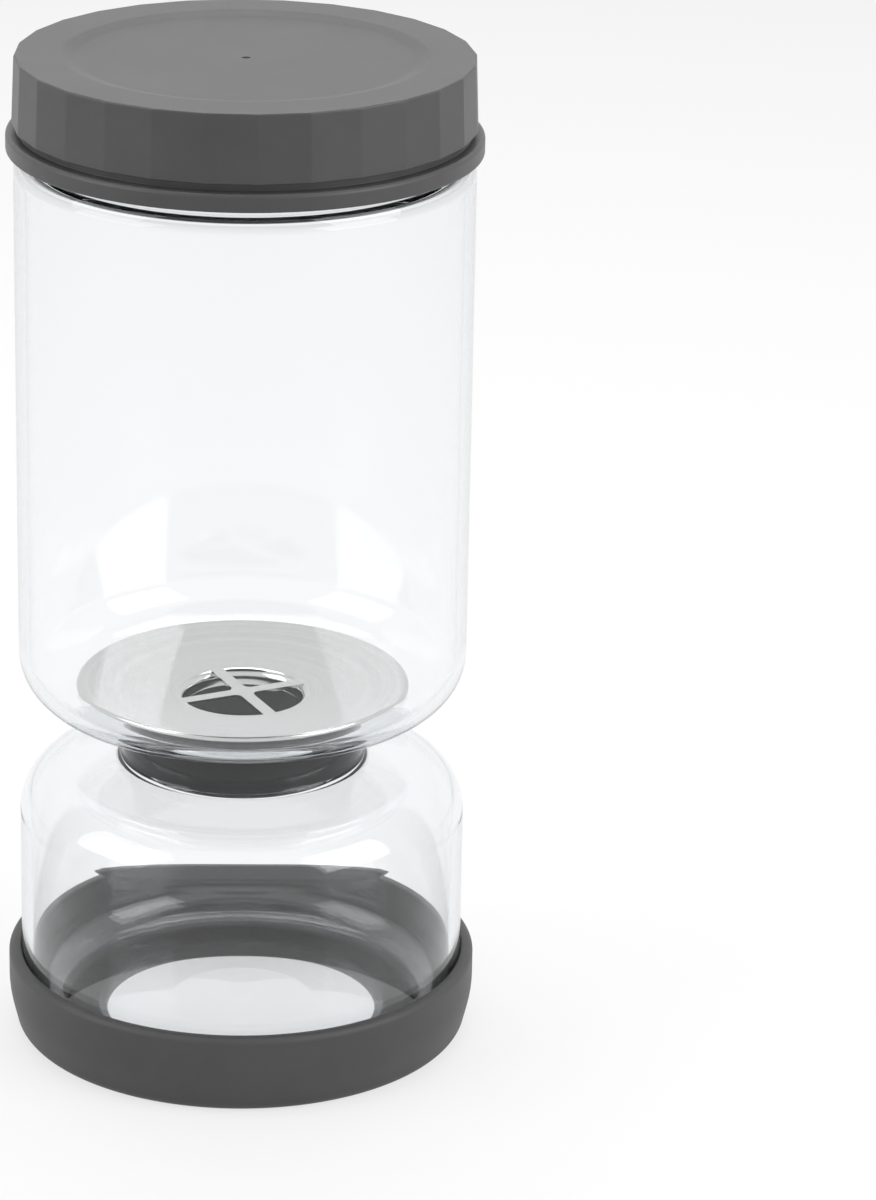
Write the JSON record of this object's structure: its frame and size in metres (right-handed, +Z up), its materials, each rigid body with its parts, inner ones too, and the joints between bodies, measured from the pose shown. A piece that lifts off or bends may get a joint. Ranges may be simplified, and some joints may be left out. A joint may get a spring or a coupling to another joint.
{
  "type": "hourglass pickle jar with strainer",
  "caption": "Hourglass pickle jar of clear glass with a faceted screw lid, a steel strainer in its neck and a soft foot ring.",
  "frame": {"origin": "centre of the foot ring's underside, where the jar stands", "axes": "+Z up along the jar's axis, towards the lid; -Y is the front"},
  "size_m": [0.1058, 0.1058, 0.2263],
  "materials": {
    "clear_glass": "clear, polished borosilicate",
    "lid_plastic": "fine satin moulding texture",
    "polished_steel": "mirror-polished stainless steel",
    "seal_silicone": "black silicone",
    "foot_silicone": "matte silicone"
  },
  "bodies": {
    "root": {"jar_glass": "clear_glass", "lid": "lid_plastic", "strainer_dish": "polished_steel", "strainer_seal": "seal_silicone", "foot_ring": "foot_silicone"}
  },
  "joints": []
}
